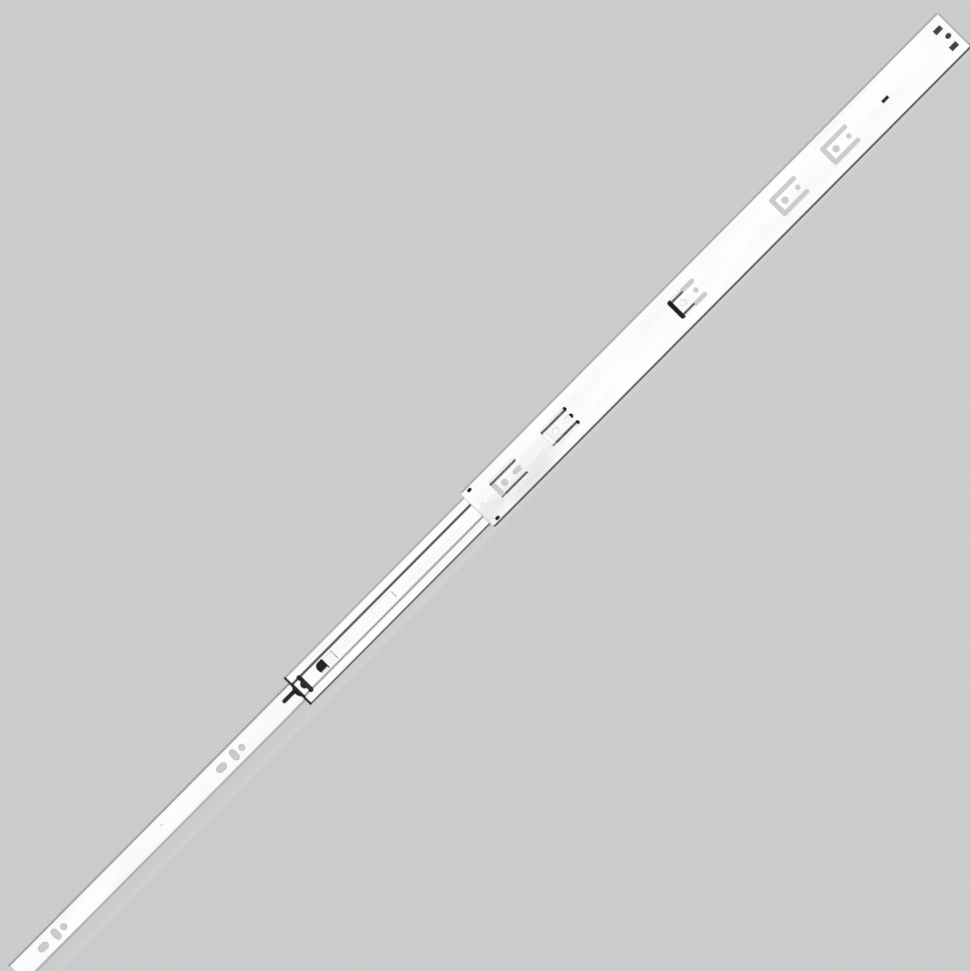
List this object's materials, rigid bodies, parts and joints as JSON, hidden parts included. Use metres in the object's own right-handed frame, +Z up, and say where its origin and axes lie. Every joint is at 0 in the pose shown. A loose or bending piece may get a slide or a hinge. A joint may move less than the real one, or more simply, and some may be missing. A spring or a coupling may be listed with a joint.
{
  "type": "cabinet drawer slide",
  "caption": "Full-extension ball-bearing cabinet drawer slide, side mounted, with telescoping steel members, plastic end bumpers and a black release lever, shown pulled out.",
  "frame": {"origin": "front end of the cabinet member, on the face that is screwed to the cabinet side, at half height", "axes": "+X runs along the slide into the cabinet, which is the closing direction; +Y points from the cabinet side to the drawer; +Z is up in use"},
  "size_m": [1.178, 0.0127, 0.0436],
  "materials": {
    "zinc_steel": "bright zinc plate, smooth",
    "ball_steel": "polished",
    "rivet_steel": "zinc plate, turned head",
    "black_plastic": "fine moulded texture"
  },
  "bodies": {
    "cabinet": {"cabinet_member": "zinc_steel", "rear_bumper": "black_plastic", "intermediate_buffer": "black_plastic"},
    "intermediate": {"intermediate_member": "zinc_steel", "front_bumper": "black_plastic"},
    "drawer": {"drawer_member": "zinc_steel", "lever_rivet": "rivet_steel"},
    "lever": {"release_lever": "black_plastic"},
    "outer_cage": {"outer_ball_cage": "black_plastic", "outer_balls_upper_front": "ball_steel", "outer_balls_upper_middle": "ball_steel", "outer_balls_upper_rear": "ball_steel", "outer_balls_lower_front": "ball_steel", "outer_balls_lower_middle": "ball_steel", "outer_balls_lower_rear": "ball_steel"},
    "inner_cage": {"inner_ball_cage": "black_plastic", "inner_balls_upper_front": "ball_steel", "inner_balls_upper_rear": "ball_steel", "inner_balls_lower_front": "ball_steel", "inner_balls_lower_rear": "ball_steel"}
  },
  "joints": [
    {"name": "intermediate_slide", "type": "slide", "parent": "cabinet", "child": "intermediate", "axis": [1, 0, 0], "range_m": [0, 0.224]},
    {"name": "drawer_slide", "type": "slide", "parent": "intermediate", "child": "drawer", "axis": [1, 0, 0], "range_m": [0, 0.354]},
    {"name": "outer_cage_slide", "type": "slide", "parent": "cabinet", "child": "outer_cage", "axis": [1, 0, 0], "range_m": [0, 0.112]},
    {"name": "inner_cage_slide", "type": "slide", "parent": "intermediate", "child": "inner_cage", "axis": [1, 0, 0], "range_m": [0, 0.177]},
    {"name": "lever_pivot", "type": "hinge", "parent": "drawer", "child": "lever", "pos_m": [-0.2194, 0.0095, 0], "axis": [0, 1, 0], "range_deg": [0, 4.2], "stiffness_Nm_per_rad": 1, "springref_deg": -1.72}
  ],
  "couplings": [
    {"joint": "outer_cage_slide", "follows": "intermediate_slide", "ratio": 0.5},
    {"joint": "inner_cage_slide", "follows": "drawer_slide", "ratio": 0.5}
  ]
}
